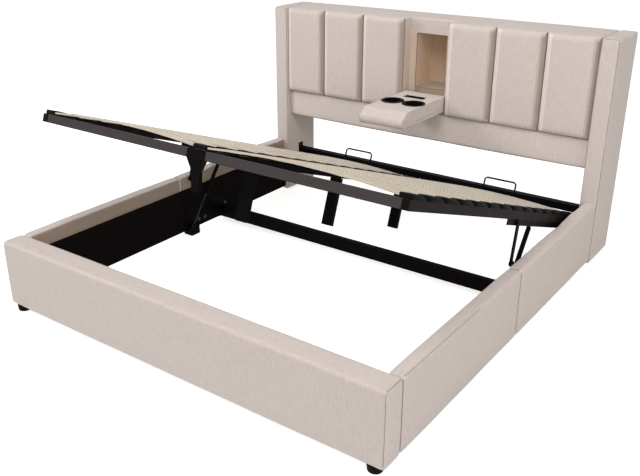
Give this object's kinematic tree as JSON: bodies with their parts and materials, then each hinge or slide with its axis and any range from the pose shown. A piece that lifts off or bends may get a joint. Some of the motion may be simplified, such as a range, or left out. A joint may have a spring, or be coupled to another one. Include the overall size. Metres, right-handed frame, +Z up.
{
  "type": "bed",
  "caption": "Upholstered king bed with a lifting slatted platform over a storage bay, and a channelled headboard whose middle folds down as an armrest with cup holders over a niche.",
  "frame": {"origin": "on the floor, under the middle of the bed's bounding box", "axes": "+Z up, +Y from the footboard to the headboard, +X to the right seen from the foot"},
  "size_m": [2.08, 2.368, 1.184],
  "materials": {
    "upholstery": "light beige linen weave, matt",
    "lining": "black non-woven lining",
    "plastic": "black moulded, satin",
    "black_steel": "black powder coat, satin",
    "grey_steel": "dark grey powder coat, satin",
    "slats": "pale laminated wood, satin lacquer"
  },
  "bodies": {
    "frame": {"footboard": "upholstery", "footboard_foot_left": "plastic", "footboard_foot_right": "plastic", "side_rail_front_left": "upholstery", "side_rail_front_right": "upholstery", "side_rail_rear_left": "upholstery", "side_rail_rear_right": "upholstery", "rail_lining_left": "lining", "rail_lining_right": "lining", "crossbeam": "black_steel", "head_crossbar": "black_steel", "wing_left": "upholstery", "wing_right": "upholstery", "headboard_frame": "upholstery", "headboard_band": "upholstery", "channel_pad_1": "upholstery", "channel_pad_2": "upholstery", "channel_pad_3": "upholstery", "channel_pad_4": "upholstery", "channel_pad_5": "upholstery", "channel_pad_6": "upholstery", "lift_base_left": "black_steel", "lift_base_right": "black_steel", "pivot_bracket_left": "black_steel", "pivot_bracket_right": "black_steel"},
    "platform": {"platform_foot_beam": "grey_steel", "platform_head_beam": "black_steel", "platform_centre_beam": "black_steel", "platform_side_beam_left": "grey_steel", "platform_side_beam_right": "grey_steel", "platform_leg_1": "black_steel", "platform_leg_2": "black_steel", "platform_leg_3": "black_steel", "slat_row_01": "slats", "slat_row_02": "slats", "slat_row_03": "slats", "slat_row_04": "slats", "slat_row_05": "slats", "slat_row_06": "slats", "slat_row_07": "slats", "slat_row_08": "slats", "slat_row_09": "slats", "slat_row_10": "slats", "slat_row_11": "slats", "slat_row_12": "slats", "slat_row_13": "slats", "slat_row_14": "slats"},
    "armrest": {"armrest_body": "upholstery", "armrest_pad": "upholstery", "cup_liner_left": "plastic", "cup_liner_right": "plastic", "device_slot_tray": "plastic"},
    "lower_arm_left": {"lower_arm_left": "black_steel"},
    "lower_arm_right": {"lower_arm_right": "black_steel"},
    "upper_arm_left": {"upper_arm_left": "black_steel"},
    "upper_arm_right": {"upper_arm_right": "black_steel"},
    "strut_rod_left": {"strut_rod_left": "grey_steel"},
    "strut_rod_right": {"strut_rod_right": "grey_steel"},
    "strut_cylinder_left": {"strut_cylinder_left": "black_steel"},
    "strut_cylinder_right": {"strut_cylinder_right": "black_steel"}
  },
  "joints": [
    {"name": "platform_lift", "type": "hinge", "parent": "frame", "child": "platform", "pos_m": [0, 0.794, 0.276], "axis": [1, 0, 0], "range_deg": [0, 20], "stiffness_Nm_per_rad": 200, "springref_deg": -114.59},
    {"name": "armrest_fold", "type": "hinge", "parent": "frame", "child": "armrest", "pos_m": [0, 0.919, 0.718], "axis": [-1, 0, 0], "range_deg": [0, 90]},
    {"name": "lower_arm_left_swing", "type": "hinge", "parent": "frame", "child": "lower_arm_left", "pos_m": [-0.965, 0.212, 0.12], "axis": [1, 0, 0], "range_deg": [0, 51.68]},
    {"name": "upper_arm_left_swing", "type": "hinge", "parent": "lower_arm_left", "child": "upper_arm_left", "pos_m": [-0.965, -0.0035, 0.34006], "axis": [1, 0, 0], "range_deg": [-69.74, 0]},
    {"name": "strut_rod_left_swing", "type": "hinge", "parent": "frame", "child": "strut_rod_left", "pos_m": [-0.935, -0.03, 0.07], "axis": [1, 0, 0], "range_deg": [-18.66, 0]},
    {"name": "strut_cylinder_left_slide", "type": "slide", "parent": "strut_rod_left", "child": "strut_cylinder_left", "axis": [0, 0.6018, 0.7987], "range_m": [-0.1548, 0]},
    {"name": "lower_arm_right_swing", "type": "hinge", "parent": "frame", "child": "lower_arm_right", "pos_m": [0.965, 0.212, 0.12], "axis": [1, 0, 0], "range_deg": [0, 51.68]},
    {"name": "upper_arm_right_swing", "type": "hinge", "parent": "lower_arm_right", "child": "upper_arm_right", "pos_m": [0.965, -0.0035, 0.34006], "axis": [1, 0, 0], "range_deg": [-69.74, 0]},
    {"name": "strut_rod_right_swing", "type": "hinge", "parent": "frame", "child": "strut_rod_right", "pos_m": [0.935, -0.03, 0.07], "axis": [1, 0, 0], "range_deg": [-18.66, 0]},
    {"name": "strut_cylinder_right_slide", "type": "slide", "parent": "strut_rod_right", "child": "strut_cylinder_right", "axis": [0, 0.6018, 0.7987], "range_m": [-0.1548, 0]}
  ],
  "couplings": [
    {"joint": "lower_arm_left_swing", "follows": "platform_lift", "ratio": 2.5835},
    {"joint": "upper_arm_left_swing", "follows": "platform_lift", "ratio": -3.4864},
    {"joint": "strut_rod_left_swing", "follows": "platform_lift", "ratio": -0.9323},
    {"joint": "strut_cylinder_left_slide", "follows": "platform_lift", "m_per_rad": -0.44291},
    {"joint": "lower_arm_right_swing", "follows": "platform_lift", "ratio": 2.5835},
    {"joint": "upper_arm_right_swing", "follows": "platform_lift", "ratio": -3.4864},
    {"joint": "strut_rod_right_swing", "follows": "platform_lift", "ratio": -0.9323},
    {"joint": "strut_cylinder_right_slide", "follows": "platform_lift", "m_per_rad": -0.44291}
  ]
}
